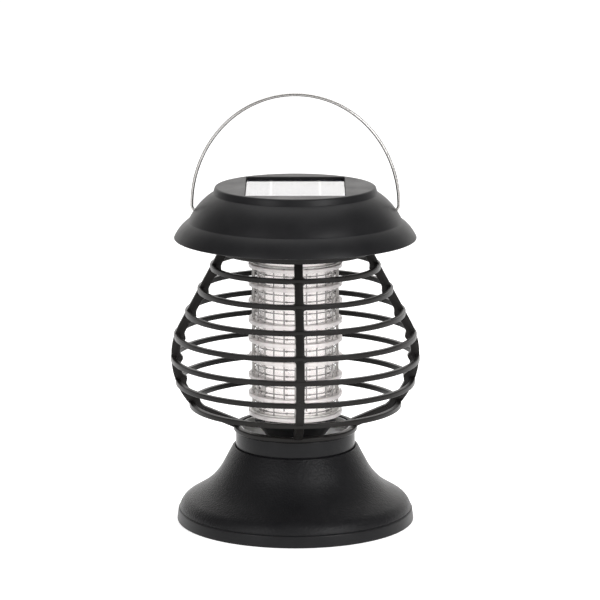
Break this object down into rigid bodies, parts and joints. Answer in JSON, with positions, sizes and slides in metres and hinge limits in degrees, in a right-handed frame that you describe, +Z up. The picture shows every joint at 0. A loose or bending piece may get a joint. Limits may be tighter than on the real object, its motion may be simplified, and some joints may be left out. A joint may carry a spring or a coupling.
{
  "type": "electric bug zapper",
  "caption": "Lantern-shaped solar bug zapper: domed cap with a panel and wire bail, caged electrified tube, flared foot.",
  "frame": {"origin": "centre of the foot's underside, on the surface it stands on", "axes": "+Z up along the lamp's axis; front towards -Y; +X to the right seen from the front, along the bail's hinge"},
  "size_m": [0.1344, 0.1344, 0.233],
  "materials": {
    "foot_black": "leather-grained satin",
    "gloss_black": "smooth gloss",
    "satin_black": "fine satin",
    "cage_black": "semi-gloss moulded",
    "tray_plastic": "milky translucent",
    "solar_cell": "cells under resin",
    "panel_glass": "clear",
    "lead_insulation": "insulated lead",
    "battery_can": "sleeved can",
    "contact_steel": "nickel-plated",
    "board_green": "solder mask",
    "ferrite": "sintered",
    "capacitor_red": "dipped",
    "chip_black": "moulded",
    "board_white": "white solder mask",
    "led_lens": "clear violet tint",
    "guide_plastic": "frosted clear",
    "clear_plastic": "clear",
    "grid_steel": "drawn wire",
    "tinned_brass": "bright",
    "screw_steel": "zinc-plated",
    "switch_white": "smooth",
    "bail_steel": "bright drawn wire"
  },
  "bodies": {
    "foot": {"foot_bell": "foot_black", "foot_base": "gloss_black", "foot_screws": "screw_steel"},
    "lamp": {"collar": "gloss_black", "catch_tray": "tray_plastic", "tube_holder": "satin_black", "holder_screw": "screw_steel", "cage_hoop_1": "cage_black", "cage_hoop_2": "cage_black", "cage_hoop_3": "cage_black", "cage_hoop_4": "cage_black", "cage_hoop_5": "cage_black", "cage_hoop_6": "cage_black", "cage_hoop_7": "cage_black", "rib_front": "cage_black", "rib_right": "cage_black", "rib_back": "cage_black", "rib_left": "cage_black", "cage_base_ring": "cage_black", "cage_top_ring": "cage_black"},
    "cap": {"cap_shell": "satin_black", "cap_base": "satin_black", "cap_screws": "screw_steel", "solar_cells": "solar_cell", "panel_glass": "panel_glass", "panel_leads": "lead_insulation", "battery": "battery_can", "battery_holder": "satin_black", "battery_contacts": "contact_steel", "circuit_board": "board_green", "transformer": "ferrite", "hv_capacitor": "capacitor_red", "control_chip": "chip_black", "led_board": "board_white", "uv_leds": "led_lens", "light_guide": "guide_plastic", "grid_tube": "clear_plastic", "live_wires": "grid_steel", "return_wires": "grid_steel", "live_ring": "tinned_brass", "return_ring": "tinned_brass", "live_hoops": "grid_steel", "return_hoops": "grid_steel", "switch_body": "satin_black"},
    "bail": {"bail": "bail_steel"},
    "switch": {"switch_knob": "switch_white"}
  },
  "joints": [
    {"name": "lamp_lift", "type": "slide", "parent": "foot", "child": "lamp", "axis": [0, 0, 1], "range_m": [0, 0.025]},
    {"name": "cap_twist", "type": "hinge", "parent": "lamp", "child": "cap", "pos_m": [0, 0, 0.155], "axis": [0, 0, 1], "range_deg": [0, 30]},
    {"name": "bail_swing", "type": "hinge", "parent": "cap", "child": "bail", "pos_m": [0, 0, 0.17], "axis": [1, 0, 0], "range_deg": [-90, 90]},
    {"name": "switch_slide", "type": "slide", "parent": "cap", "child": "switch", "axis": [1, 0, 0], "range_m": [0, 0.004]}
  ]
}
